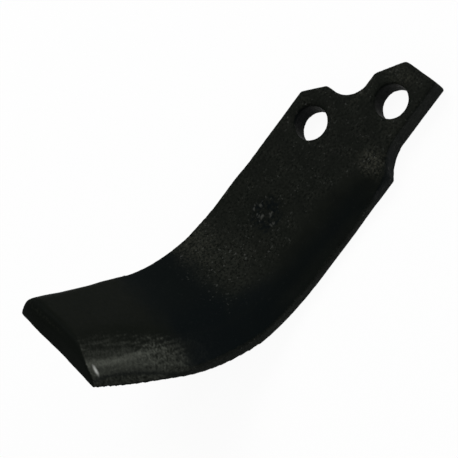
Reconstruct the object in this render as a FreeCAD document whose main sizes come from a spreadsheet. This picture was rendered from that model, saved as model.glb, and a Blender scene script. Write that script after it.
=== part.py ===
# Rotary tiller blade: one forged steel piece, a flat two-hole shank bent up into a bevelled leg.
# X runs from the shank's end towards the leg, Y across towards the cutting edge and Z up.
# The origin is on the end hole's axis, in the shank's flat back face.
import FreeCAD, Part
import math
import os
import Sketcher
from FreeCAD import Placement, Rotation, Vector

doc = FreeCAD.newDocument("TillerBlade")

# Driving dimensions, in millimetres and degrees
sizes = {
    # Shank, seen from the front; distances are from the end hole's axis
    "thick": 12.0,  # bar thickness
    "rearReach": 40.2,  # to the rear edge
    "frontReach": 19.8,  # to the cutting edge of the stem
    "endReach": 18.2,  # to the shank's end
    "holeDia": 17.0,  # bolt holes, clear of an M16 bolt
    "holeStepX": 29.5,  # second hole, along the shank
    "holeInset": 13.7,  # second hole, from the rear edge
    "lugReach": 14.8,  # to the lug's rear side
    "hollowRad": 11.7,  # hollow between the lug and the rear corner
    "rearFlat": 4.5,  # flat between the hollow and the rear chamfer
    "rearChamfer": 9.2,  # rear chamfer, along the shank
    "lugSide": 5.8,  # straight part of the lug's rear side
    "lugTop": 5.6,  # to the slanted corner, on the end face
    "neckReach": 12.5,  # to the neck's front side
    "neckStart": 11.0,  # to the start of the sweep from neck to stem
    "neckRad": 23.0,  # sweep from neck to stem
    # Bend and leg; the bend axis is turned a little from square
    "bendSkew": 2.8,  # turn of the bend axis
    "bendStart": 86.5,  # to the bend, square to its axis
    "bendRad": 57.5,  # inside radius of the bend
    "bendAngle": 65.5,  # turn of the leg
    "legLength": 47.6,  # flat part of the leg
    "kinkTurn": 58.0,  # round the bend to where the rear edge turns outward
    "rearTurn": 5.1,  # that turn, seen square to the shank
    "partingDepth": 5.4,  # front face to the parting line on the tip
    "partingOut": 0.7,  # height of the parting line on the tip
    "sweepAngle": 5.1,  # lean of the leg's cutting edge
    "sweepEnd": 18.0,  # bend to the end of the straight cutting edge
    "sweepSide": 20.3,  # to that end, along the bend axis
    "sweepRad": 255.0,  # curve of the cutting edge towards the tip
    # Bevel on the front face, given at stations along the blade
    "creaseHalf": 5.0,  # half width of the rounding along the crease
    "creaseLift": 0.2,  # start of that rounding above the front face
    "fadeStart": 23.0,  # to the start of the bevel
    "stemStation": 38.0,  # to the stem station
    "stemBevel": 11.3,  # bevel width at the stem station
    "stemDepth": 4.2,  # bevel depth at the stem station
    "bendBevel": 12.4,  # bevel width at the start of the bend
    "bendDepth": 5.2,  # bevel depth at the start of the bend
    "legBevel": 17.0,  # bevel width at the end of the bend
    "legDepth": 7.2,  # bevel depth at the end of the bend
    "tipBevel": 18.2,  # bevel width at the tip
    "tipDepth": 8.8,  # bevel depth at the tip
    "edgeLean": 1.2,  # lean of the narrow edge face on the leg
    # Rounding of the leg's rear edge on the front face, growing towards the tip
    "rearRoundBend": 0.8,  # its radius at the end of the bend
    "rearRoundTip": 8.5,  # its radius at the tip
    "roundPast": 0.05,  # how far its arc passes the faces, as a share of the radius
    "tipClear": 2.0,  # reach of the tip sections past the tip
    # Roundings
    "rimRound": 1.5,  # front rims of the holes
    "lugRound": 3.0,  # corners of the lug
    "chamferRound": 1.5,  # corners of the rear chamfer
    "cornerRound": 1.2,  # rear corner of the tip
    "frontRound": 2.4,  # front edge of the tip
    "spare": 20.0,  # reach of the cutting profiles past the bar
}
sheet = doc.addObject("Spreadsheet::Sheet", "Sizes")
for row, (name, number) in enumerate(sizes.items(), start=1):
    sheet.set("A%d" % row, name)
    sheet.set("B%d" % row, str(number))
    sheet.setAlias("B%d" % row, name)
doc.recompute()

body = doc.addObject("PartDesign::Body", "blade")
body.Label = "blade"
# Drawn square to the bend axis, then turned so that the shank lies along X
body.Placement = Placement(Vector(0, 0, 0), Rotation(Vector(0, 0, -1), 1.0))
body.setExpression(".Placement.Rotation.Angle", "Sizes.bendSkew")
doc.recompute()


def newSketch(name, role, turnAxis=None, turn="0", shift=("0", "0", "0")):
    # a sketch on one origin plane, moved and turned in that plane's own axes
    sketch = body.newObject("Sketcher::SketchObject", name)
    plane = [feature for feature in body.Origin.OriginFeatures if feature.Role == role][0]
    sketch.AttachmentSupport = [(plane, "")]
    sketch.MapMode = "FlatFace"
    sketch.AttachmentOffset = Placement(Vector(0, 0, 0), Rotation(turnAxis or Vector(0, 0, 1), 1.0))
    sketch.setExpression(".AttachmentOffset.Rotation.Angle", turn)
    for axis, text in zip("xyz", shift):
        sketch.setExpression(".AttachmentOffset.Base." + axis, text)
    doc.recompute()
    return sketch


def evaluate(text):
    return float(sheet.evalExpression(text))


def arcBetween(start, end, radius):
    # the shorter arc from start to end; its centre is on the left where the radius is positive
    chord = end - start
    rise = math.sqrt(radius ** 2 - chord.Length ** 2 / 4)
    across = Vector(-chord.y, chord.x, 0).normalize()
    centre = (start + end) * 0.5 + across * math.copysign(rise, radius)
    first, last = (start, end) if radius > 0 else (end, start)
    angles = [math.atan2(point.y - centre.y, point.x - centre.x) for point in (first, last)]
    circle = Part.Circle(centre, Vector(0, 0, 1), abs(radius))
    return Part.ArcOfCircle(circle, angles[0], angles[1])


def drawProfile(sketch, corners, closed=True):
    # each corner is x, y and, where an arc leaves it, that arc's signed radius
    texts = [corner[:2] for corner in corners]
    points = [Vector(evaluate(x), evaluate(y), 0) for x, y in texts]
    pieces = len(corners) if closed else len(corners) - 1
    ends = []
    for i in range(pieces):
        start, end = points[i], points[(i + 1) % len(points)]
        if len(corners[i]) == 3:
            radius = evaluate(corners[i][2])
            geo = sketch.addGeometry(arcBetween(start, end, radius), False)
            ends.append((geo, 1, 2) if radius > 0 else (geo, 2, 1))
            number = sketch.addConstraint(Sketcher.Constraint("Radius", geo, abs(radius)))
            sketch.setExpression("Constraints[%d]" % number, "abs(%s)" % corners[i][2])
        else:
            geo = sketch.addGeometry(Part.LineSegment(start, end), False)
            ends.append((geo, 1, 2))
    for i in range(pieces if closed else pieces - 1):
        geo, startEnd, lastEnd = ends[i]
        nextGeo, nextStart, nextLast = ends[(i + 1) % pieces]
        sketch.addConstraint(Sketcher.Constraint("Coincident", geo, lastEnd, nextGeo, nextStart))
    for i, (x, y) in enumerate(texts):
        geo, startEnd, lastEnd = ends[min(i, pieces - 1)]
        end = startEnd if i < pieces else lastEnd
        for kind, text in (("DistanceX", x), ("DistanceY", y)):
            constraint = Sketcher.Constraint(kind, -1, 1, geo, end, evaluate(text))
            number = sketch.addConstraint(constraint)
            sketch.setExpression("Constraints[%d]" % number, text)
    doc.recompute()


def solidCheck(feature, grows):
    # a cut that misses the bar shows no error, so each step's volume is compared
    doc.recompute()
    volume = feature.Shape.Volume
    before = feature.BaseFeature.Shape.Volume if feature.BaseFeature else 0.0
    if (volume > before) != grows or abs(volume - before) < 1e-3:
        raise RuntimeError("%s changed nothing: %.1f to %.1f" % (feature.Label, before, volume))
    print("%-14s %10.1f mm3" % (feature.Label, volume))


def roundEdges(name, radius, test):
    # round the edges of the last shape whose middle point passes the test
    base = body.Tip
    found = []
    for i, edge in enumerate(base.Shape.Edges):
        first, last = edge.ParameterRange
        middle = edge.valueAt((first + last) / 2)
        if test(edge, middle):
            found.append("Edge%d" % (i + 1))
    if not found:
        raise RuntimeError("%s found no edge to round" % name)
    fillet = body.newObject("PartDesign::Fillet", name)
    fillet.Base = (base, found)
    fillet.setExpression("Radius", radius)
    solidCheck(fillet, False)
    return fillet


# Points along the bar's side, front face (inside of the bend) and back face
bendX = "(Sizes.bendStart + Sizes.bendRad * sin(Sizes.bendAngle))"
bendZ = "(Sizes.thick + Sizes.bendRad * (1 - cos(Sizes.bendAngle)))"
backX = "(Sizes.bendStart + (Sizes.bendRad + Sizes.thick) * sin(Sizes.bendAngle))"
backZ = "((Sizes.bendRad + Sizes.thick) * (1 - cos(Sizes.bendAngle)))"


def alongLeg(length, depth):
    # place on the leg, that far from the bend and that deep under its front face
    x = "%s + (%s) * cos(Sizes.bendAngle) + (%s) * sin(Sizes.bendAngle)" % (bendX, length, depth)
    z = "%s + (%s) * sin(Sizes.bendAngle) - (%s) * cos(Sizes.bendAngle)" % (bendZ, length, depth)
    return x, z


# Bar: flat shank, bend and leg, with the parting line standing out along the tip
barSide = newSketch("barSide", "XZ_Plane")
drawProfile(barSide, [
    ("-Sizes.endReach - Sizes.spare", "0"),
    ("Sizes.bendStart", "0", "Sizes.bendRad + Sizes.thick"),
    (backX, backZ),
    alongLeg("Sizes.legLength", "Sizes.thick"),
    alongLeg("Sizes.legLength + Sizes.partingOut", "Sizes.partingDepth"),
    alongLeg("Sizes.legLength", "0"),
    (bendX, bendZ, "-Sizes.bendRad"),
    ("Sizes.bendStart", "Sizes.thick"),
    ("-Sizes.endReach - Sizes.spare", "Sizes.thick"),
])
bar = body.newObject("PartDesign::Pad", "bar")
bar.Profile = barSide
bar.SideType = "Symmetric"
bar.setExpression("Length", "2 * (Sizes.rearReach + Sizes.frontReach)")
solidCheck(bar, True)

# Shank outline, cut square to the shank: end lug, hollow, rear edge, neck and stem
farX = "(%s + Sizes.legLength + Sizes.spare)" % backX
kinkX = "(Sizes.bendStart + Sizes.bendRad * sin(Sizes.kinkTurn))"
hollowY = "(-Sizes.lugReach - Sizes.hollowRad)"
kinkAlong = "((%s - Sizes.rearReach * sin(Sizes.bendSkew)) / cos(Sizes.bendSkew))" % kinkX
rearFarY = "-Sizes.rearReach - (%s - %s) * tan(Sizes.rearTurn)" % (farX, kinkAlong)
neckEndX = ("Sizes.neckStart + sqrt(Sizes.neckRad ^ 2"
            " - (Sizes.neckRad - Sizes.frontReach + Sizes.neckReach) ^ 2)")
rearClearY = "-Sizes.rearReach - 4 * Sizes.spare"
frontClearY = "Sizes.frontReach + 4 * Sizes.spare"
endClearX = "-Sizes.endReach - 4 * Sizes.spare"
outline = newSketch("shankOutline", "XY_Plane", turn="Sizes.bendSkew")
drawProfile(outline, [
    (farX, rearFarY),
    (kinkAlong, "-Sizes.rearReach"),
    ("Sizes.hollowRad + Sizes.rearChamfer", "-Sizes.rearReach"),
    ("Sizes.hollowRad", hollowY + " - Sizes.rearFlat"),
    ("Sizes.hollowRad", hollowY, "Sizes.hollowRad"),
    ("0", "-Sizes.lugReach"),
    ("-Sizes.lugSide", "-Sizes.lugReach"),
    ("-Sizes.endReach", "-Sizes.lugTop"),
    ("-Sizes.endReach", "Sizes.neckReach"),
    ("Sizes.neckStart", "Sizes.neckReach", "Sizes.neckRad"),
    (neckEndX, "Sizes.frontReach"),
    (farX, "Sizes.frontReach"),
    (farX, frontClearY),
    (endClearX, frontClearY),
    (endClearX, rearClearY),
    (farX, rearClearY),
])
shankCut = body.newObject("PartDesign::Pocket", "shankCut")
shankCut.Profile = outline
shankCut.Type = "ThroughAll"
shankCut.SideType = "Symmetric"
solidCheck(shankCut, False)

# Leg's cutting edge, cut square to the leg: straight through the bend, then curving back to the tip
legPlane = {"turnAxis": Vector(0, -1, 0), "turn": "Sizes.bendAngle", "shift": (bendX, "0", bendZ)}
sweepBack = "-Sizes.bendRad - Sizes.spare"
sweepBackY = "Sizes.sweepSide + (Sizes.sweepEnd + Sizes.bendRad + Sizes.spare) * tan(Sizes.sweepAngle)"


def curvedEdge(length):
    # the curved part of the cutting edge along the bend axis, that far from the bend
    fromCentre = "(%s - Sizes.sweepEnd + Sizes.sweepRad * sin(Sizes.sweepAngle))" % length
    return ("Sizes.sweepSide - Sizes.sweepRad * cos(Sizes.sweepAngle)"
            " + sqrt(Sizes.sweepRad ^ 2 - %s ^ 2)" % fromCentre)


pastTip = "Sizes.legLength + Sizes.spare"
edgeOutline = newSketch("edgeOutline", "XY_Plane", **legPlane)
drawProfile(edgeOutline, [
    (sweepBack, sweepBackY),
    ("Sizes.sweepEnd", "Sizes.sweepSide", "-Sizes.sweepRad"),
    (pastTip, curvedEdge(pastTip)),
    (pastTip, frontClearY),
    (sweepBack, frontClearY),
])
edgeCut = body.newObject("PartDesign::Pocket", "edgeCut")
edgeCut.Profile = edgeOutline
edgeCut.Type = "ThroughAll"
edgeCut.SideType = "Symmetric"
solidCheck(edgeCut, False)


def rearEdge(x):
    # the rear edge along the bend axis, at that distance from the origin
    return "(%s * tan(Sizes.bendSkew) - Sizes.rearReach / cos(Sizes.bendSkew))" % x


def rearEdgeTurned(x):
    # the same, past the point where it turns outward
    return "(%s + (%s - %s) * tan(Sizes.bendSkew - Sizes.rearTurn))" % (rearEdge(kinkX), x, kinkX)


# Rear corner of the tip, rounded square to the leg
tipX, tipZ = alongLeg("Sizes.legLength", "0")
tipX, tipZ = "(%s)" % tipX, "(%s)" % tipZ
tipRear = rearEdgeTurned(tipX)
cornerOutline = newSketch("cornerOutline", "XY_Plane", **legPlane)
drawProfile(cornerOutline, [
    ("Sizes.legLength + Sizes.partingOut - Sizes.cornerRound", tipRear, "Sizes.cornerRound"),
    ("Sizes.legLength + Sizes.partingOut", tipRear + " + Sizes.cornerRound"),
    (pastTip, tipRear + " + Sizes.cornerRound"),
    (pastTip, tipRear + " - Sizes.spare"),
    ("Sizes.legLength + Sizes.partingOut - Sizes.cornerRound", tipRear + " - Sizes.spare"),
])
cornerCut = body.newObject("PartDesign::Pocket", "cornerCut")
cornerCut.Profile = cornerOutline
cornerCut.Type = "ThroughAll"
cornerCut.SideType = "Symmetric"
solidCheck(cornerCut, False)

thick = evaluate("Sizes.thick")


def uprightAt(edge, middle, corners):
    # an edge along the thickness that stands at one of these corners of the shank
    straight = isinstance(edge.Curve, Part.Line) and abs(edge.Length - thick) < 1e-3
    return straight and any(math.hypot(middle.x - x, middle.y - y) < 0.01 for x, y in corners)


def shankPoint(x, y):
    # a corner of the shank outline, in the body's own axes
    turn = math.radians(evaluate("Sizes.bendSkew"))
    x, y = evaluate(x), evaluate(y)
    return x * math.cos(turn) - y * math.sin(turn), x * math.sin(turn) + y * math.cos(turn)


lugCorners = [
    shankPoint("-Sizes.lugSide", "-Sizes.lugReach"),
    shankPoint("-Sizes.endReach", "-Sizes.lugTop"),
]
roundEdges("lugRounds", "Sizes.lugRound", lambda edge, middle: uprightAt(edge, middle, lugCorners))
smallCorners = [
    shankPoint("Sizes.hollowRad + Sizes.rearChamfer", "-Sizes.rearReach"),
    shankPoint("Sizes.hollowRad", hollowY + " - Sizes.rearFlat"),
]
roundEdges("chamferRounds", "Sizes.chamferRound", lambda edge, middle: uprightAt(edge, middle, smallCorners))

# Bevel: a wedge swept along the front face, growing from the stem through the bend to the tip
path = newSketch("bevelPath", "XZ_Plane")
drawProfile(path, [
    ("Sizes.fadeStart", "Sizes.thick"),
    ("Sizes.bendStart", "Sizes.thick", "Sizes.bendRad"),
    (bendX, bendZ),
    alongLeg(pastTip, "0"),
], closed=False)


def bevelSection(name, place, turn, edge, width, depth, lean):
    # the wedge at one station: rounded crease, slope, then the narrow edge face
    edge, width, depth = "(%s)" % edge, "(%s)" % width, "(%s)" % depth
    crease = "(%s - %s)" % (edge, width)
    slope = "(%s / %s)" % (depth, width)
    roundRad = "Sizes.creaseHalf / tan(atan(%s) / 2)" % slope
    floor = "-%s - Sizes.thick / 4" % depth
    sketch = newSketch(name, "YZ_Plane", Vector(-1, 0, 0), turn, ("0", place[1], place[0]))
    drawProfile(sketch, [
        (crease + " - Sizes.creaseHalf", "Sizes.creaseLift", "-(%s)" % roundRad),
        (crease + " + Sizes.creaseHalf", "-Sizes.creaseHalf * %s" % slope),
        (edge + " - " + lean, "-%s" % depth),
        (edge + " + Sizes.edgeLean", floor),
        (edge + " + Sizes.spare", floor),
        (edge + " + Sizes.spare", "Sizes.thick / 2"),
        (crease + " - Sizes.creaseHalf", "Sizes.thick / 2"),
    ])
    return sketch


def shankEdge(x):
    # the stem's cutting edge, measured along the bend axis, at that distance from the origin
    return "Sizes.frontReach / cos(Sizes.bendSkew) + (%s) * tan(Sizes.bendSkew)" % x


tipReach = "(Sizes.legLength + Sizes.tipClear)"
stations = [
    ("bevelFade", ("Sizes.fadeStart", "Sizes.thick"), "0",
     shankEdge("Sizes.fadeStart") + " + Sizes.stemBevel", "Sizes.stemBevel", "Sizes.stemDepth", "0"),
    ("bevelStem", ("Sizes.stemStation", "Sizes.thick"), "0",
     shankEdge("Sizes.stemStation"), "Sizes.stemBevel", "Sizes.stemDepth", "0"),
    ("bevelBend", ("Sizes.bendStart", "Sizes.thick"), "0",
     shankEdge("Sizes.bendStart"), "Sizes.bendBevel", "Sizes.bendDepth", "0"),
    ("bevelLeg", (bendX, bendZ), "Sizes.bendAngle",
     "Sizes.sweepSide + Sizes.sweepEnd * tan(Sizes.sweepAngle)", "Sizes.legBevel", "Sizes.legDepth",
     "Sizes.edgeLean"),
    ("bevelTip", alongLeg(tipReach, "0"), "Sizes.bendAngle",
     curvedEdge(tipReach), "Sizes.tipBevel", "Sizes.tipDepth", "Sizes.edgeLean"),
]
sections = [bevelSection(*station) for station in stations]
bevel = body.newObject("PartDesign::SubtractivePipe", "bevel")
bevel.Profile = sections[0]
bevel.Spine = path
bevel.Mode = "Standard"
bevel.Transformation = "Multisection"
bevel.Sections = [(section, [""]) for section in sections[1:]]
solidCheck(bevel, False)



# Rear edge of the leg: its front corner is hammered round, more and more towards the tip
def rearSection(name, place, turn, rear, radius):
    # what the rounding takes off at one station: a quarter circle that starts and ends past the faces
    inward = "(1 - Sizes.roundPast) * %s" % radius
    outward = "Sizes.roundPast * %s" % radius
    sketch = newSketch(name, "YZ_Plane", Vector(-1, 0, 0), turn, ("0", place[1], place[0]))
    drawProfile(sketch, [
        ("%s - %s" % (rear, outward), "-%s" % inward, "-%s" % radius),
        ("%s + %s" % (rear, inward), outward),
        ("%s + %s" % (rear, inward), "Sizes.thick / 2"),
        ("%s - Sizes.spare" % rear, "Sizes.thick / 2"),
        ("%s - Sizes.spare" % rear, "-%s" % inward),
    ])
    return sketch


rearStart = rearSection("rearStart", (bendX, bendZ), "Sizes.bendAngle", rearEdgeTurned(bendX),
                        "Sizes.rearRoundBend")
rearEnd = rearSection("rearEnd", alongLeg(tipReach, "0"), "Sizes.bendAngle",
                      rearEdgeTurned("(%s)" % alongLeg(tipReach, "0")[0]), "Sizes.rearRoundTip")
rearRound = body.newObject("PartDesign::SubtractiveLoft", "rearRound")
rearRound.Profile = rearStart
rearRound.Sections = [(rearEnd, [""])]
rearRound.Ruled = True
solidCheck(rearRound, False)

# Bolt holes, square through the shank
holeSketch = newSketch("holeCentres", "XY_Plane", turn="Sizes.bendSkew", shift=("0", "0", "Sizes.thick"))
for x, y in (("0", "0"), ("Sizes.holeStepX", "Sizes.holeInset - Sizes.rearReach")):
    centre = Vector(evaluate(x), evaluate(y), 0)
    geo = holeSketch.addGeometry(Part.Circle(centre, Vector(0, 0, 1), evaluate("Sizes.holeDia / 2")), False)
    for kind, text in (("DistanceX", x), ("DistanceY", y)):
        number = holeSketch.addConstraint(Sketcher.Constraint(kind, -1, 1, geo, 3, evaluate(text)))
        holeSketch.setExpression("Constraints[%d]" % number, text)
    number = holeSketch.addConstraint(Sketcher.Constraint("Diameter", geo, evaluate("Sizes.holeDia")))
    holeSketch.setExpression("Constraints[%d]" % number, "Sizes.holeDia")
doc.recompute()
holes = body.newObject("PartDesign::Hole", "boltHoles")
holes.Profile = holeSketch
holes.ThreadType = "None"
holes.DepthType = "ThroughAll"
holes.DrillPoint = "Flat"
holes.setExpression("Diameter", "Sizes.holeDia")
solidCheck(holes, False)

holeRad = evaluate("Sizes.holeDia / 2")


def isRim(edge, middle):
    circle = isinstance(edge.Curve, Part.Circle) and abs(edge.Curve.Radius - holeRad) < 1e-3
    return circle and edge.isClosed() and abs(middle.z - thick) < 1e-3


roundEdges("rimRounds", "Sizes.rimRound", isRim)


def isTipFront(edge, middle):
    # the tip's front edge between the rear rounding and the bevel
    return math.hypot(middle.x - evaluate(tipX), middle.z - evaluate(tipZ)) < 0.01


roundEdges("tipRound", "Sizes.frontRound", isTipFront)

# Nothing is written unless every object has worked and the blade is one closed solid
doc.recompute()
for item in doc.Objects:
    if "Invalid" in item.State or "Error" in item.State:
        raise RuntimeError("%s is in the state %s" % (item.Label, item.State))
blade = body.Shape
if blade.isNull() or not blade.isValid() or len(blade.Solids) != 1 or not blade.Solids[0].isClosed():
    raise RuntimeError("the blade is not one closed solid")
os.makedirs("parts", exist_ok=True)
blade.exportStep("parts/%s.step" % body.Label)
print("blade: %.1f mm3, %d faces" % (blade.Volume, len(blade.Faces)))
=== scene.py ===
# Rotary tiller blade: one forged piece with a black skin, on a white studio floor
import math
import bmesh
import bpy
from mathutils import Matrix, Vector, noise


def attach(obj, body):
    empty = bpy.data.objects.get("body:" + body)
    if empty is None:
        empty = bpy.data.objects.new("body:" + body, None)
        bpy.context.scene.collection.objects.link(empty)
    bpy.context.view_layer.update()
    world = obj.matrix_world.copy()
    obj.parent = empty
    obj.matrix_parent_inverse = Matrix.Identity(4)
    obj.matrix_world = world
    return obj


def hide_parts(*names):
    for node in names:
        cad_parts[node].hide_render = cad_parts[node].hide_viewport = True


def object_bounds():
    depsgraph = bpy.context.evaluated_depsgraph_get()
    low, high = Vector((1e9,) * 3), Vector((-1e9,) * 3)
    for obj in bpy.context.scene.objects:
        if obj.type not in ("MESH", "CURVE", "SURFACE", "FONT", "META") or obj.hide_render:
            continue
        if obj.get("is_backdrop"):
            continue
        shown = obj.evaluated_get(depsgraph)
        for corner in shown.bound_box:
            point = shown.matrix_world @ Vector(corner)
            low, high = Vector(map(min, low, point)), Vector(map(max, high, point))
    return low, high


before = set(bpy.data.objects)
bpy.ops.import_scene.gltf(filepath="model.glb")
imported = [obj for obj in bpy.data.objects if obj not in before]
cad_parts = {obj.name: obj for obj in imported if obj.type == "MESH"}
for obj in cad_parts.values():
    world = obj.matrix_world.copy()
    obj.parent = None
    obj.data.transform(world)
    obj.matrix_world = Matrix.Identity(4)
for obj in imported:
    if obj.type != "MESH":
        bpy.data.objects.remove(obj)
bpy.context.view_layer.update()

# What a user would change on the forged skin; lengths in metres
skin = {
    "voxel": 0.00061,         # grid of the dense mesh that carries the relief
    "seam": 1e-7,             # points of the solid's mesh closer than this are one
    "edgeSteps": 5,           # light smoothing of the whole mesh, which softens every edge
    "creaseSteps": 120,       # strong smoothing, most of all of the crease along the bevel
    "smoothing": 0.5,         # how far each step of both goes
    "creaseDepth": 0.006,     # how deep under the front face the strong one still works
    "cornerRounding": 0.35,   # its share at the tip's rear corner
    "edgeRounding": 0.12,     # and at the stem's cutting edge
    "holeBurr": 0.0002,       # the punched holes are drawn in a little
    "tipUpset": 0.0006,       # the hammered tip stands a little longer
    "cornerUpset": 0.0018,    # and its rear corner more
    "crust": 0.00018,         # thickness of the scale over the whole blade
    "waveDepth": 0.00010,     # long hammer waves
    "legWaves": 0.5,          # share of them that the leg lacks
    "scaleDepth": 0.00010,    # forging scale
    "pitSize": 0.0021,        # pits where scale broke away
    "pitDepth": 0.00024,
    "markDepth": 0.00015,     # the pitted mark as a whole
    "chipHeight": 0.00018,    # raised chips in it, which carry painted glints
}

# The bend, as in the frame: its axis is turned a little from square to the shank
bend = {"skew": math.radians(2.8), "start": 0.0865, "radius": 0.0575, "angle": math.radians(65.5),
        "thick": 0.012}

# Directions of the leg: out of its tip and out of its front face
tipward = Vector((math.cos(bend["angle"]), 0, math.sin(bend["angle"])))
frontward = Vector((-math.sin(bend["angle"]), 0, math.cos(bend["angle"])))

# Axes of the two bolt holes, as in the frame, and the distances from them at which the burr is
# nothing and full
holes = [(0, 0), (0.0295, -0.0265)]
holeRim = (0.0100, 0.0087)

# The bevel's inner line on the front face: place along the blade and across it
creaseLine = [(-0.026, 0.0670), (0.024, 0.0170), (0.032, 0.0130), (0.040, 0.0080), (0.052, 0.0066),
              (0.064, 0.0066), (0.080, 0.0092), (0.112, 0.0124), (0.128, 0.0108), (0.144, 0.0066),
              (0.160, 0.0008), (0.184, -0.0060), (0.202, -0.0072)]

# Small moves of the two long edges across the blade: place along it and how far out
rearDress = [(0.062, 0), (0.075, 0.0006), (0.098, 0.0006), (0.112, 0), (0.158, 0), (0.170, -0.0006),
             (0.184, -0.0004), (0.194, 0.0003)]
frontDress = [(0.040, 0), (0.056, 0.0004), (0.080, 0.0004), (0.095, 0)]

# Where each part of the work reaches. A pair says where it is nothing and where it is full, and four
# numbers also where it starts to fade again and where it ends. Lengths in metres: along the blade
# from the end hole, across it towards the cutting edge, depth under the front face, and inward from
# the bevel's crease. toSide, toTip and toFront say how squarely the surface faces that way
regions = {
    # moves and smoothing of the mesh
    "rearEdge": {"across": (-0.016, -0.026)},
    "frontEdge": {"across": (0.012, 0.020)},
    "lateFoot": {"along": (0.062, 0.082)},
    "crease": {"inward": (-0.0091, -0.00325, 0.00325, 0.0091), "along": (0.018, 0.024, 0.196, 0.200)},
    "rearCorner": {"along": (0.186, 0.193), "across": (-0.020, -0.027)},
    "stemEdge": {"along": (0.036, 0.042, 0.080, 0.090), "across": (0.0175, 0.019)},
    "upset": {"along": (0.190, 0.2005)},
    "upsetCorner": {"across": (-0.004, -0.034)},
    # faces of the blade
    "front": {"depth": (-0.004, 0, 0, 0.004)},
    "bevel": {"inward": (0.003, -0.004), "along": (0.024, 0.034), "depth": (0.0125, 0.0105)},
    "side": {"toSide": (0.55, 0.85)},
    "tip": {"toTip": (0.25, 0.60), "along": (0.192, 0.197)},
    "upper": {"toFront": (0.0, 0.3)},
    "leg": {"along": (0.140, 0.158)},
    # stretches of the skin
    "pastStem": {"along": (0.118, 0.128)},
    "creaseSide": {"inward": (0.006, -0.001)},
    "stemBevel": {"along": (0.026, 0.050)},
    "lateStem": {"along": (0.080, 0.110)},
    "intoBend": {"along": (0.085, 0.118)},
    "stemCuttingEdge": {"across": (0.0170, 0.0215), "along": (0.040, 0.055, 0.090, 0.110)},
    "frontHalf": {"across": (-0.012, 0.004)},
    "neckSweep": {"along": (0.014, 0.020, 0.034, 0.044)},
    "lip": {"depth": (0.0086, 0.0091, 0.0098, 0.0106)},
    "underLip": {"depth": (0.0098, 0.0106)},
    "sideRim": {"along": (0.030, 0.040, 0.140, 0.160)},
    "rearTip": {"across": (-0.004, -0.020)},
    "brightStripe": {"along": (0.155, 0.190)},
    "crumbly": {"along": (0.142, 0.152, 0.166, 0.176)},
}


def smoothStep(low, high, x):
    # eased way from 0 at low to 1 at high, which may also be the smaller of the two
    t = min(max((x - low) / (high - low), 0.0), 1.0)
    return t * t * (3 - 2 * t)


def straightStep(low, high, x):
    return (x - low) / (high - low)


def fade(ends, x):
    if len(ends) == 2:
        return smoothStep(*ends, x)
    nothing, full, fading, gone = ends
    return smoothStep(nothing, full, x) * smoothStep(gone, fading, x)


def inside(region, place):
    # 0 outside a region, 1 well inside it
    return math.prod(fade(ends, place[axis]) for axis, ends in regions[region].items())


def lineAt(line, along, step):
    # value of a line there; step says how it goes from one of its points to the next
    if along <= line[0][0]:
        return line[0][1]
    for (place, value), (nextPlace, nextValue) in zip(line, line[1:]):
        if along <= nextPlace:
            return value + (nextValue - value) * step(place, nextPlace, along)
    return line[-1][1]


def alongBlade(p):
    # unrolled place of a point: along the blade, across it, and its depth under the front face
    x = p.x * math.cos(bend["skew"]) - p.y * math.sin(bend["skew"])
    y = p.x * math.sin(bend["skew"]) + p.y * math.cos(bend["skew"])
    if x <= bend["start"]:
        return x, y, bend["thick"] - p.z
    dx, dz = x - bend["start"], bend["thick"] + bend["radius"] - p.z
    angle = math.atan2(dx, dz)
    if 0 <= angle <= bend["angle"]:
        return bend["start"] + bend["radius"] * angle, y, math.hypot(dx, dz) - bend["radius"]
    cosine, sine = math.cos(bend["angle"]), math.sin(bend["angle"])
    run = dx * cosine - dz * sine
    depth = dx * sine + dz * cosine - bend["radius"]
    return bend["start"] + bend["radius"] * bend["angle"] + run, y, depth


def placeOf(p):
    along, across, depth = alongBlade(p)
    inward = lineAt(creaseLine, along, straightStep) - across
    return {"along": along, "across": across, "depth": depth, "inward": inward}


# Noises of the relief: size of their lumps and a shift that keeps them apart. The rough ones have
# octaves too: how fast they fall off, how much finer each is, and how many there are. Streaks get
# their size from the ground steel
lumps = {
    "patchRim": {"size": 0.0045},
    "paintedShadeRim": {"size": 0.009},
    "grain": {"size": 0.0055, "shift": (3, 8, 5)},
    "pitGroups": {"size": 0.009, "shift": (7, 3, 1)},
    "chipGroups": {"size": 0.0042, "shift": (1, 5, 8)},
    "blotches": {"size": 0.0045},
    "waves": {"size": 0.017},
    "glintChips": {"size": 0.0022, "shift": (4, 9, 2), "octaves": (0.7, 2.2, 3)},
    "scale": {"size": 0.0024, "octaves": (0.8, 2.1, 3)},
    "hollows": {"size": 0.0020, "octaves": (0.8, 2.0, 2)},
    "crumbs": {"size": 0.0011, "octaves": (0.8, 2.0, 3)},
    "streaks": {"size": 1, "octaves": (0.9, 2.0, 3)},
}


def lumpAt(kind, p):
    lump = lumps[kind]
    p = p / lump["size"] + Vector(lump.get("shift", (0, 0, 0)))
    return noise.fractal(p, *lump["octaves"]) if "octaves" in lump else noise.noise(p)


def flatPoint(place):
    return Vector((place["along"], place["across"], 0))


def applyModifiers(thing):
    graph = bpy.context.evaluated_depsgraph_get()
    dense = bpy.data.meshes.new_from_object(thing.evaluated_get(graph))
    thing.modifiers.clear()
    thing.data = dense


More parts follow.
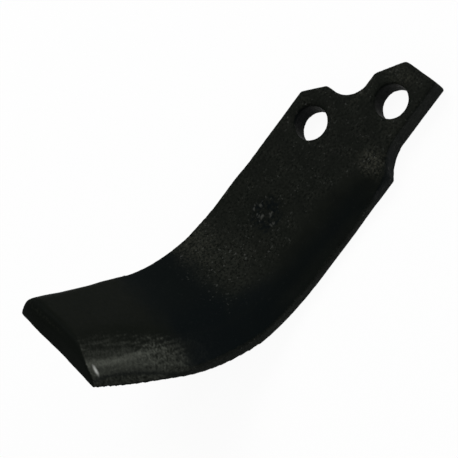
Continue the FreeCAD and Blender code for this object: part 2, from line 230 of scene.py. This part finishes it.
def makeBlade():
    # a merged copy of the solid's mesh, remeshed finely enough to carry the forging's relief
    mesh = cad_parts["blade"].data.copy()
    bm = bmesh.new()
    bm.from_mesh(mesh)
    bmesh.ops.remove_doubles(bm, verts=bm.verts, dist=skin["seam"])
    bm.to_mesh(mesh)
    bm.free()
    blade = bpy.data.objects.new("forgedBlade", mesh)
    bpy.context.scene.collection.objects.link(blade)
    remesh = blade.modifiers.new("denseSkin", "REMESH")
    remesh.mode = "VOXEL"
    remesh.voxel_size = skin["voxel"]
    remesh.adaptivity = 0
    applyModifiers(blade)
    print("blade: %d faces" % len(blade.data.polygons))
    return blade


# The stem's bevel runs straight out to the side face, over the step of the solid
runOut = {
    "start": 0.040,        # places along the blade between which it does
    "end": 0.084,
    "from": 0.0185,        # and the place across it, towards the cutting edge
    "slope": 0.387,
    "foot": 0.0074,        # line across the blade at which the slope leaves the front face
    "footMove": 0.0026,    # and how far that moves out towards the bend
    "stepDepth": 0.0078,   # the step of the solid
    "fadeDepth": 0.0098,   # the side face takes up the move down to here
}


def dressedDepth(place):
    # the depth that a point of the stem's bevel moves to
    depth = place["depth"]
    if not runOut["start"] < place["along"] < runOut["end"] or place["across"] < runOut["from"]:
        return depth
    foot = runOut["foot"] + runOut["footMove"] * inside("lateFoot", place)
    wanted = runOut["slope"] * (place["across"] - foot)
    step, end = runOut["stepDepth"], runOut["fadeDepth"]
    if depth <= wanted or depth >= end:
        return depth
    if depth < step:
        return wanted
    return wanted + (depth - step) * (end - wanted) / (end - step)


def dressedPoint(p, place):
    # the edges as the hammer and the punch left them, a little off the solid's
    p = p.copy()
    p.z += place["depth"] - dressedDepth(place)
    p.y -= lineAt(rearDress, place["along"], smoothStep) * inside("rearEdge", place)
    p.y += lineAt(frontDress, place["along"], smoothStep) * inside("frontEdge", place)
    for x, y in holes:
        away = Vector((p.x - x, p.y - y, 0))
        p -= away.normalized() * skin["holeBurr"] * smoothStep(*holeRim, away.length)
    return p


def smoothingAt(place):
    # share of the strong smoothing: the crease, the tip's rear corner and the stem's cutting edge
    onCrease = inside("crease", place) if place["depth"] < skin["creaseDepth"] else 0
    onCorner = skin["cornerRounding"] * inside("rearCorner", place)
    onEdge = skin["edgeRounding"] * inside("stemEdge", place)
    return max(onCrease, onCorner, onEdge)


def softenBlade(blade):
    # every edge a little, and the crease of the bevel a lot, as the hammer left it
    crease = blade.vertex_groups.new(name="crease")
    for v in blade.data.vertices:
        place = placeOf(v.co)
        v.co = dressedPoint(v.co, place)
        weight = smoothingAt(place)
        if weight > 0:
            crease.add([v.index], weight, "REPLACE")
    for name, steps, group in (("softCrease", skin["creaseSteps"], "crease"),
                               ("softEdges", skin["edgeSteps"], "")):
        smooth = blade.modifiers.new(name, "SMOOTH")
        smooth.factor = skin["smoothing"]
        smooth.iterations = steps
        smooth.vertex_group = group
    applyModifiers(blade)
    blade.vertex_groups.clear()


def facesAt(place, normal):
    # how far a point belongs to each face of the blade; shown joins the front, the bevel and the tip
    place.update(toSide=normal.y, toTip=normal.dot(tipward), toFront=normal.dot(frontward))
    faces = {name: inside(name, place) for name in ("front", "bevel", "side", "tip", "upper", "leg")}
    faces["upper"] *= 1 - faces["tip"]
    onTop = max(faces["front"], faces["bevel"]) * (1 - faces["tip"])
    faces["shown"] = max(onTop, faces["tip"]) * (1 - faces["side"])
    return faces


# Patches of the skin: centre along the blade and across it, half sizes, the share of these at which
# the patch starts to fade, and how much grain, dust and pits it brings
patches = {
    "pittedMark": {"at": (0.0755, -0.0125), "half": (0.0088, 0.0074), "core": 0.75,
                   "grain": 0.4, "dust": 0.0, "pits": 1.0},
    "neckPatch": {"at": (0.0260, 0.0130), "half": (0.0075, 0.0080), "core": 0.25,
                  "grain": 1.0, "dust": 0.72, "pits": 0.45},
    "lugTop": {"at": (-0.0115, -0.0045), "half": (0.0055, 0.0110), "core": 0.25,
               "grain": 0.6, "dust": 0.42, "pits": 0.2},
    "lugFoot": {"at": (0.0095, 0.0095), "half": (0.0060, 0.0060), "core": 0.25,
                "grain": 0.5, "dust": 0.18, "pits": 0.1},
    "hollowRim": {"at": (0.0040, -0.0140), "half": (0.0100, 0.0035), "core": 0.25,
                  "grain": 0.6, "dust": 0.30, "pits": 0.1},
    "rearBend": {"at": (0.1070, -0.0290), "half": (0.0130, 0.0150), "core": 0.25,
                 "grain": 1.0, "dust": 0.44, "pits": 0.25},
    "midBend": {"at": (0.1020, -0.0110), "half": (0.0180, 0.0150), "core": 0.25,
                "grain": 1.0, "dust": 0.14, "pits": 0.2},
}
patchRim = {"ragged": 0.28, "end": 1.3}


def patchSkin(place):
    # of each kind, what the strongest of the patches brings there
    ragged = patchRim["ragged"] * lumpAt("patchRim", flatPoint(place))
    brought = {"grain": 0.0, "dust": 0.0, "pits": 0.0}
    for patch in patches.values():
        dx = (place["along"] - patch["at"][0]) / patch["half"][0]
        dy = (place["across"] - patch["at"][1]) / patch["half"][1]
        share = smoothStep(patchRim["end"], patch["core"], math.hypot(dx, dy) + ragged)
        for kind in brought:
            brought[kind] = max(brought[kind], patch[kind] * share)
    return brought


# Painted shade, dark and bluish, on the bend, the stem's bevel, the tip, the side face and the lip,
# and how strong it is in each place
paintedShadeSpread = {
    "line": 0.0060,        # line across the blade from which it covers the stem's bevel
    "lineMove": 0.0080,    # how far that moves rearwards into the bend
    "width": 0.0115,       # how far past the line it is full
    "stem": 0.74,
    "lateStem": 0.18,      # more of it near the bend
    "atCuttingEdge": 0.45,          # less at the stem's cutting edge
    "bend": (0.108, 0.123, 0.142, 0.160),    # where along the blade it covers the bend
    "wander": 0.004,       # how far these places wander
    "rearBend": 0.80,      # the bend's rear half; its front half is fully shaded
    "tip": 0.2,
    "side": 0.3,           # the side face at the cutting edge
    "neckSweep": 0.5,      # more of it in the neck's sweep
    "lip": 0.7,            # the land at the foot of the leg's bevel
}


# painted shade: how dark each place of the blade is painted
def closedSkin(place, faces):
    start = paintedShadeSpread["line"] - paintedShadeSpread["lineMove"] * inside("intoBend", place)
    onStem = smoothStep(start, start + paintedShadeSpread["width"], place["across"]) * inside("stemBevel", place)
    onStem *= (1 - faces["leg"]) * (1 - paintedShadeSpread["atCuttingEdge"] * inside("stemCuttingEdge", place))
    onStem *= paintedShadeSpread["stem"] + paintedShadeSpread["lateStem"] * inside("lateStem", place)
    wander = paintedShadeSpread["wander"] * lumpAt("paintedShadeRim", flatPoint(place))
    inBend = fade(paintedShadeSpread["bend"], place["along"] + wander)
    inBend *= paintedShadeSpread["rearBend"] + (1 - paintedShadeSpread["rearBend"]) * inside("frontHalf", place)
    onFront = faces["shown"] * max(onStem, inBend, paintedShadeSpread["tip"] * faces["tip"])
    onSide = (paintedShadeSpread["side"] + paintedShadeSpread["neckSweep"] * inside("neckSweep", place)) * faces["side"]
    onLip = paintedShadeSpread["lip"] * inside("lip", place) * faces["bevel"] * faces["leg"] * faces["upper"]
    return max(onFront, onSide, onLip)


# Bare steel on the leg's ground bevel, with a painted highlight along a stripe
bareSteelAndHighlight = {
    "start": (0.140, 0.166),        # where it sets in along the leg
    "reach": (0.002, 0.013),        # and how far out from the crease
    "stripeAt": (0.149, 0.0112),    # a point of the stripe's middle, along the blade and across it
    "lean": 0.066,                  # how fast the stripe runs rearwards
    "halfWidth": 0.0017,
    "dull": 0.55,                   # the painted highlight's strength at the start
    "lowerSide": (0.0, 0.004),      # distance past the stripe at which the lower side starts
    "landing": (0.0087, 0.0098),    # depth at which the lip ends it
    "landed": 0.8,                  # by this much
    "streakSize": (0.014, 0.0012),  # length and width of the streaks
    # how far the noises move those places
    "wander": {"blotches": 0.006, "crumbs": 0.003, "streaks": 0.004, "stripe": 0.0005, "lip": 0.0010},
    # how bare each makes the steel; the stripe's share paints a highlight
    "amount": {"plain": 0.22, "lower": 0.20, "stripe": 0.66, "streaks": 0.14, "crumbs": 0.20,
               "moreCrumbs": 0.30, "underLip": 0.10, "lipCrumbs": 0.30},
}


def groundSteelAndHighlight(p, place, onBevel):
    # how bare the steel is there, with the painted highlight of the stripe added, and how far the
    # point is on the ground part of the bevel
    stripeAlong, stripeAcross = bareSteelAndHighlight["stripeAt"]
    streakLength, streakWidth = bareSteelAndHighlight["streakSize"]
    wander, amount = bareSteelAndHighlight["wander"], bareSteelAndHighlight["amount"]
    middle = stripeAcross - bareSteelAndHighlight["lean"] * (place["along"] - stripeAlong)
    off = place["across"] - middle
    streaks = lumpAt("streaks", Vector((place["along"] / streakLength, off / streakWidth, 0)))
    crumbs = lumpAt("crumbs", p)
    ragged = wander["blotches"] * lumpAt("blotches", p) + wander["crumbs"] * crumbs
    onLeg = onBevel * smoothStep(*bareSteelAndHighlight["start"], place["along"] + ragged)
    # painted highlight along the stripe
    stripe = math.exp(-((off + wander["stripe"] * streaks) / bareSteelAndHighlight["halfWidth"]) ** 2)
    stripe *= bareSteelAndHighlight["dull"] + (1 - bareSteelAndHighlight["dull"]) * inside("brightStripe", place)
    out = -place["inward"] + wander["streaks"] * streaks + wander["crumbs"] * crumbs
    landing = smoothStep(*bareSteelAndHighlight["landing"], place["depth"] + wander["lip"] * crumbs)
    bare = amount["plain"] + amount["lower"] * smoothStep(*bareSteelAndHighlight["lowerSide"], off)
    bare += amount["stripe"] * stripe + amount["streaks"] * streaks
    bare += (amount["crumbs"] + amount["moreCrumbs"] * inside("crumbly", place)) * crumbs
    bare *= onLeg * smoothStep(*bareSteelAndHighlight["reach"], out) * (1 - bareSteelAndHighlight["landed"] * landing)
    bare += onLeg * inside("underLip", place) * (amount["underLip"] + amount["lipCrumbs"] * crumbs)
    return min(max(bare, 0.0), 1.0), onLeg


# Painted highlight at the tip's corner of the cutting edge, made metallic too: centre along the blade
# and across it, half sizes, lean, and the shares of the half sizes at which it is nothing and full
paintedGlintSpot = {"at": (0.1966, 0.0106), "half": (0.0011, 0.0028), "lean": 0.17, "rim": (1.1, 0.1)}


def paintedGlintAt(place):
    dx = place["along"] - paintedGlintSpot["at"][0]
    dy = place["across"] - paintedGlintSpot["at"][1]
    off = math.hypot((dx + paintedGlintSpot["lean"] * dy) / paintedGlintSpot["half"][0], dy / paintedGlintSpot["half"][1])
    return smoothStep(*paintedGlintSpot["rim"], off)


# Grain of the scale outside the patches: its share, how much of that is even and how much in clouds,
# the noise's values where a cloud is nothing and full, what pits take away, and the least of it
cloudy = {"share": 0.62, "even": 0.45, "clouds": 0.75, "rim": (-0.25, 0.35), "pitted": 0.6,
          "least": 0.04}

# Outside the patches: a lighter line across the tip face, and dust on the side face
tipLine = {"depth": 0.0034, "halfWidth": 0.0009, "dust": 0.16}
sideDust = 0.06

# The pitted mark. The chip and dark ranges say how pitted the skin is where its chips, which carry
# painted glints, and the dark hollows between them, are nothing and full; the rims say so of their
# noises
mark = {"glintChips": (0.45, 0.75), "chipShare": 0.85, "gathered": 0.35, "chipRim": (0.50, 0.62),
        "dark": (0.4, 0.9), "hollowRim": (-0.05, 0.22), "leastDark": 0.2}


def grainAt(p, place, faces, pitted):
    calm = max(inside("pastStem", place), inside("creaseSide", place)) * faces["shown"]
    clouds = cloudy["even"] + cloudy["clouds"] * smoothStep(*cloudy["rim"], lumpAt("grain", p))
    return cloudy["share"] * clouds * (1 - calm) * (1 - cloudy["pitted"] * pitted)


def dustAt(place, faces):
    line = math.exp(-((place["depth"] - tipLine["depth"]) / tipLine["halfWidth"]) ** 2)
    onTip = tipLine["dust"] * line * faces["tip"] * inside("rearTip", place)
    return max(onTip, sideDust * faces["side"] * inside("sideRim", place))


def glintChipsAt(p, pitted):
    # raised chips of scale with painted glints on them, ragged in outline and gathered in places
    if pitted <= mark["glintChips"][0]:
        return 0.0
    ragged = lumpAt("glintChips", p) + mark["gathered"] * lumpAt("chipGroups", p)
    facets = smoothStep(*mark["chipRim"], ragged)
    return mark["chipShare"] * facets * smoothStep(*mark["glintChips"], pitted)


def darkAt(p, pitted):
    # dark hollows between the chips
    hollow = smoothStep(*mark["hollowRim"], lumpAt("hollows", p))
    return (mark["leastDark"] + (1 - mark["leastDark"]) * hollow) * smoothStep(*mark["dark"], pitted)


def skinAt(p, place, faces):
    # what the skin is like at a point, each kind from 0 to 1
    brought = patchSkin(place)
    rough, dust, pitted = (brought[kind] * faces["front"] for kind in ("grain", "dust", "pits"))
    groundAndHighlight, onLeg = groundSteelAndHighlight(p, place, faces["bevel"] * faces["upper"])
    glintChips = glintChipsAt(p, pitted)
    return {
        # painted shade, together with the dark hollows of the pitted mark
        "closed": min(1, closedSkin(place, faces) + darkAt(p, pitted) * (1 - glintChips)),
        "dust": max(dust, dustAt(place, faces)),
        "groundAndHighlight": groundAndHighlight,
        "grain": max(rough, grainAt(p, place, faces, pitted), cloudy["least"]),
        "glintChips": glintChips,
        # painted highlight at the tip's corner of the cutting edge
        "glint": paintedGlintAt(place) * faces["upper"] * faces["bevel"],
        "leg": faces["leg"],
        "pitted": pitted,
        "onLeg": onLeg,
    }


# Shares of the scale: everywhere, with the grain, and on the ground bevel
scaleShares = {"least": 0.1, "grain": 0.8, "groundAndHighlight": 0.8}

# A pit's bowl, by the distance from its middle, and the stray pits outside the patches
pits = {"bowl": (0.5, 0.12), "strayShare": 0.4, "strayRim": (0.15, 0.45), "grainFull": 0.5}


def reliefAt(p, look):
    # how far the skin stands out from the surface
    waves = lumpAt("waves", p) * skin["waveDepth"] * (1 - skin["legWaves"] * look["leg"])
    share = scaleShares["least"] + scaleShares["grain"] * look["grain"]
    share += scaleShares["groundAndHighlight"] * look["onLeg"]
    scale = lumpAt("scale", p) * skin["scaleDepth"] * share
    bowl = smoothStep(*pits["bowl"], noise.voronoi(p / skin["pitSize"])[0][0])
    stray = pits["strayShare"] * smoothStep(*pits["strayRim"], lumpAt("pitGroups", p))
    stray *= min(1, look["grain"] / pits["grainFull"])
    sink = bowl * max(look["pitted"], stray) * skin["pitDepth"]
    sink += skin["markDepth"] * smoothStep(*mark["dark"], look["pitted"])
    return skin["crust"] + waves + scale - sink + skin["chipHeight"] * look["glintChips"]


# Fields of the mesh that the colours follow
fieldKinds = ("closed", "dust", "groundAndHighlight", "grain", "glintChips", "glint", "leg")


def forgeRelief(blade):
    # the relief pushes the surface out along its normals, and the tip's upset along the leg
    mesh = blade.data
    values = {kind: [] for kind in fieldKinds}
    normals = [v.normal.copy() for v in mesh.vertices]
    for v, normal in zip(mesh.vertices, normals):
        p = v.co.copy()
        place = placeOf(p)
        look = skinAt(p, place, facesAt(place, normal))
        upset = skin["tipUpset"] + skin["cornerUpset"] * inside("upsetCorner", place)
        v.co = p + normal * reliefAt(p, look) + tipward * upset * inside("upset", place)
        for kind in fieldKinds:
            values[kind].append(look[kind])
    for kind in fieldKinds:
        mesh.attributes.new(kind, "FLOAT", "POINT")
        mesh.attributes[kind].data.foreach_set("value", values[kind])
    for polygon in mesh.polygons:
        polygon.use_smooth = True
    mesh.update()


def node(tree, kind, place, **values):
    made = tree.nodes.new(kind)
    made.location = place
    for name, value in values.items():
        setattr(made, name, value)
    return made


def plug(tree, source, target, name):
    if isinstance(source, (int, float, tuple)):
        target.inputs[name].default_value = source
    else:
        tree.links.new(source, target.inputs[name])


def mathNode(tree, operation, place, *values, clamp=False):
    made = node(tree, "ShaderNodeMath", place, operation=operation, use_clamp=clamp)
    for slot, value in enumerate(values):
        plug(tree, value, made, slot)
    return made.outputs[0]


# Colour sockets of a mix node, which has others of the same names
colourSockets = {"under": 6, "over": 7, "mixed": 2}


def mixColour(tree, place, amount, under, over):
    made = node(tree, "ShaderNodeMix", place, data_type="RGBA")
    plug(tree, amount, made, "Factor")
    plug(tree, under, made, colourSockets["under"])
    plug(tree, over, made, colourSockets["over"])
    return made.outputs[colourSockets["mixed"]]


def noiseNode(tree, place, vector, scale, detail, rough):
    made = node(tree, "ShaderNodeTexNoise", place)
    made.inputs["Scale"].default_value = scale
    made.inputs["Detail"].default_value = detail
    made.inputs["Roughness"].default_value = rough
    tree.links.new(vector, made.inputs["Vector"])
    return made.outputs["Fac"]


def fieldNode(tree, place, name):
    return node(tree, "ShaderNodeAttribute", place, attribute_name=name).outputs["Fac"]


def between(tree, place, value, low, high, toLow=0.0, toHigh=1.0):
    made = node(tree, "ShaderNodeMapRange", place)
    plug(tree, value, made, "Value")
    for name, number in (("From Min", low), ("From Max", high), ("To Min", toLow), ("To Max", toHigh)):
        made.inputs[name].default_value = number
    return made.outputs["Result"]


blackSkin = {
    "scale": (0.0069, 0.0080, 0.0063, 1),    # plain forged skin
    "darker": (0.0050, 0.0060, 0.0048, 1),   # its darker mottle
    "closed": (0.0027, 0.0040, 0.0043, 1),   # painted shade in the bend and on the stem's bevel, also the dark of the pits
    "sand": (0.0124, 0.0137, 0.0110, 1),     # fine grain of the scale, raised
    "dimple": (0.0027, 0.0034, 0.0027, 1),   # and sunk
    "leg": (0.0044, 0.0054, 0.0041, 1),      # painted shade on the leg's face
    "dust": (0.0340, 0.0345, 0.0265, 1),     # dusty, rubbed scale
    "groundAndHighlight": (0.060, 0.064, 0.054, 1),      # bare steel of the leg's bevel, also the colour of the painted highlight stripe on it
    "crumbGlint": (0.040, 0.042, 0.038, 1),       # painted glints on the crumbs of scale and on the mark's chips
    "glint": (0.36, 0.37, 0.35, 1),          # painted highlight at the tip's corner of the cutting edge
    "legShadeShare": 0.8,                         # how far the painted shade on the leg's face covers the plain skin
    "unflecked": 0.75,                       # how bare ground steel is outside its flecks
    "flecks": 0.5,                           # and how much more in them
    "roughness": (0.46, 0.62),
    "specular": 0.012,
    "bare": 0.45,                            # how metallic the ground bevel is
    "bump": 0.00016,                         # height of the fine bumps
    "bumpLeast": 0.08,                       # how strong they are everywhere
    "bumpGrain": 0.9,                        # with the grain
    "bumpGround": 0.5,                       # and on ground steel
}

# Noises of the colours: lumps to a metre, detail and roughness
skinNoises = {
    "mottle": (120, 5, 0.62),
    "fine": (620, 4, 0.7),
    "crumbs": (720, 2, 0.5),
    "sand": (820, 2, 0.6),
    "grit": (1050, 2, 0.6),
}

# What is picked out of them: the noise, and its values where the pick is nothing and full
picks = {
    "mottled": ("mottle", 0.36, 0.64),
    "raised": ("sand", 0.38, 0.62),
    "sunk": ("sand", 0.50, 0.36),
    "flecks": ("fine", 0.42, 0.62),
    "dusty": ("grit", 0.46, 0.60),
    "crumbly": ("crumbs", 0.64, 0.71),
}

# Values of the fine noise between which the skin goes from its smoothest to its roughest
roughRange = (0.35, 0.65)


def blackSteel():
    material = bpy.data.materials.new("blackForgedSteel")
    material.use_nodes = True
    tree = material.node_tree
    shader = tree.nodes["Principled BSDF"]
    shader.inputs["Specular IOR Level"].default_value = blackSkin["specular"]
    place = node(tree, "ShaderNodeTexCoord", (-2100, 0)).outputs["Object"]
    noises = {name: noiseNode(tree, (-1800, -300 * row), place, *look)
              for row, (name, look) in enumerate(skinNoises.items())}
    fields = {kind: fieldNode(tree, (-1800, 300 + 200 * row), kind)
              for row, kind in enumerate(fieldKinds)}
    picked = {name: between(tree, (-1500, -300 * row), noises[kind], low, high)
              for row, (name, (kind, low, high)) in enumerate(picks.items())}

    flecked = mathNode(tree, "MULTIPLY_ADD", (-1200, 1200), picked["flecks"], blackSkin["flecks"],
                       blackSkin["unflecked"])
    # bare steel with the painted highlight stripe on the leg's bevel
    bareAndHighlight = mathNode(tree, "MULTIPLY", (-1000, 1200), flecked, fields["groundAndHighlight"], clamp=True)
    # specks of painted glint on the crumbs of the scale
    crumbly = mathNode(tree, "MULTIPLY", (-1200, 0), picked["crumbly"], fields["grain"])
    layers = {
        "scale": picked["mottled"],
        "sand": mathNode(tree, "MULTIPLY", (-1200, 400), picked["raised"], fields["grain"]),
        "dimple": mathNode(tree, "MULTIPLY", (-1200, 600), picked["sunk"], fields["grain"]),
        # painted shade on the leg's face
        "leg": mathNode(tree, "MULTIPLY", (-1200, 800), fields["leg"], blackSkin["legShadeShare"]),
        # painted shade, and the dark of the pits
        "closed": fields["closed"],
        "dust": mathNode(tree, "MULTIPLY", (-1200, 1000), fields["dust"], picked["dusty"]),
        "groundAndHighlight": bareAndHighlight,
        "crumbGlint": mathNode(tree, "MAXIMUM", (-1000, 0), crumbly, fields["glintChips"]),
        "glint": fields["glint"],
    }
    colour = blackSkin["darker"]
    for column, (name, amount) in enumerate(layers.items()):
        colour = mixColour(tree, (-900 + 100 * column, 600), amount, colour, blackSkin[name])
    tree.links.new(colour, shader.inputs["Base Color"])

    bare = mathNode(tree, "MULTIPLY", (-700, 300), bareAndHighlight, blackSkin["bare"])
    # the painted highlight at the tip is metallic too
    metallic = mathNode(tree, "MAXIMUM", (-500, 300), bare, fields["glint"])
    tree.links.new(metallic, shader.inputs["Metallic"])
    roughness = between(tree, (-500, 0), noises["fine"], *roughRange, *blackSkin["roughness"])
    tree.links.new(roughness, shader.inputs["Roughness"])

    bump = node(tree, "ShaderNodeBump", (-200, -300))
    bump.inputs["Distance"].default_value = blackSkin["bump"]
    tree.links.new(noises["fine"], bump.inputs["Height"])
    strength = mathNode(tree, "MULTIPLY_ADD", (-700, -300), fields["grain"], blackSkin["bumpGrain"],
                        blackSkin["bumpLeast"])
    strength = mathNode(tree, "MULTIPLY_ADD", (-500, -300), fields["groundAndHighlight"], blackSkin["bumpGround"],
                        strength, clamp=True)
    tree.links.new(strength, bump.inputs["Strength"])
    tree.links.new(bump.outputs["Normal"], shader.inputs["Normal"])
    return material


# The floor: half its size, its colour, and how white the eye sees it
sheet = {"half": 6, "colour": (0.9, 0.9, 0.9, 1), "white": 0.94}


def whiteFloor():
    material = bpy.data.materials.new("whiteFloor")
    material.use_nodes = True
    tree = material.node_tree
    shader = tree.nodes["Principled BSDF"]
    shader.inputs["Base Color"].default_value = sheet["colour"]
    shader.inputs["Roughness"].default_value = 1
    shader.inputs["Specular IOR Level"].default_value = 0
    path = node(tree, "ShaderNodeLightPath", (-600, 300))
    seen = path.outputs["Is Camera Ray"]
    for column, ray in enumerate(("Is Glossy Ray", "Is Transmission Ray")):
        seen = mathNode(tree, "MAXIMUM", (-400 + 200 * column, 300), seen, path.outputs[ray])
    white = node(tree, "ShaderNodeEmission", (0, 100))
    white.inputs["Strength"].default_value = 1
    mix = node(tree, "ShaderNodeMixShader", (200, 200))
    tree.links.new(mathNode(tree, "MULTIPLY", (0, 300), seen, sheet["white"]), mix.inputs[0])
    tree.links.new(shader.outputs["BSDF"], mix.inputs[1])
    tree.links.new(white.outputs["Emission"], mix.inputs[2])
    tree.links.new(mix.outputs[0], tree.nodes["Material Output"].inputs["Surface"])
    return material


def makeFloor(level):
    # a pale sheet that reads white to the eye and keeps the blade's shadow
    bm = bmesh.new()
    bmesh.ops.create_grid(bm, x_segments=1, y_segments=1, size=sheet["half"])
    bmesh.ops.translate(bm, verts=bm.verts, vec=(0, 0, level))
    mesh = bpy.data.meshes.new("studioFloor")
    bm.to_mesh(mesh)
    bm.free()
    floor = bpy.data.objects.new("studioFloor", mesh)
    bpy.context.scene.collection.objects.link(floor)
    mesh.materials.append(whiteFloor())
    floor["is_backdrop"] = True


# Soft boxes: place, aim, size and power; and the light of the air around
lamps = {
    "softBox": {"at": (-0.25, -0.65, 1.15), "aim": (0.07, -0.01, 0.02), "size": 0.7, "power": 9},
    "sideBox": {"at": (-1.10, 0.30, 0.22), "aim": (0.12, 0.0, 0.04), "size": 0.35, "power": 5},
    "fillBox": {"at": (0.9, 0.8, 0.9), "aim": (0.07, 0, 0.03), "size": 0.8, "power": 1.0},
}
airLight = 0.45


def makeLamps():
    for name, lamp in lamps.items():
        light = bpy.data.lights.new(name, "AREA")
        light.energy = lamp["power"]
        light.size = lamp["size"]
        thing = bpy.data.objects.new(name, light)
        thing.location = lamp["at"]
        aim = Vector(lamp["aim"]) - Vector(lamp["at"])
        thing.rotation_euler = aim.to_track_quat("-Z", "Y").to_euler()
        bpy.context.scene.collection.objects.link(thing)
    world = bpy.data.worlds.new("studioAir")
    world.use_nodes = True
    world.node_tree.nodes["Background"].inputs["Color"].default_value = (1, 1, 1, 1)
    world.node_tree.nodes["Background"].inputs["Strength"].default_value = airLight
    bpy.context.scene.world = world


# Camera as the photograph was taken, about 60 degrees above the floor and rolled; the lens in
# millimetres for a 36 mm sensor
eye = {"at": (0.00692, 0.37734, 0.71794), "right": (-0.59297, 0.66625, -0.45221),
       "up": (-0.79867, -0.55814, 0.22495), "lens": 140.19, "sensor": 36, "nearest": 0.05,
       "farthest": 30}


def makeCamera():
    camera = bpy.data.cameras.new("photoCamera")
    camera.sensor_width = eye["sensor"]
    camera.lens = eye["lens"]
    camera.clip_start = eye["nearest"]
    camera.clip_end = eye["farthest"]
    thing = bpy.data.objects.new("photoCamera", camera)
    right, up = Vector(eye["right"]).normalized(), Vector(eye["up"]).normalized()
    back = right.cross(up)
    turn = Matrix((right, up, back)).transposed().to_4x4()
    thing.matrix_world = Matrix.Translation(eye["at"]) @ turn
    bpy.context.scene.collection.objects.link(thing)
    bpy.context.scene.camera = thing


blade = makeBlade()
softenBlade(blade)
forgeRelief(blade)
blade.data.materials.clear()
blade.data.materials.append(blackSteel())
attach(blade, "root")
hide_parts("blade")
print("blade made")

makeFloor(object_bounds()[0].z)
makeLamps()
makeCamera()
bpy.context.scene.view_settings.view_transform = "Standard"
print("studio made")
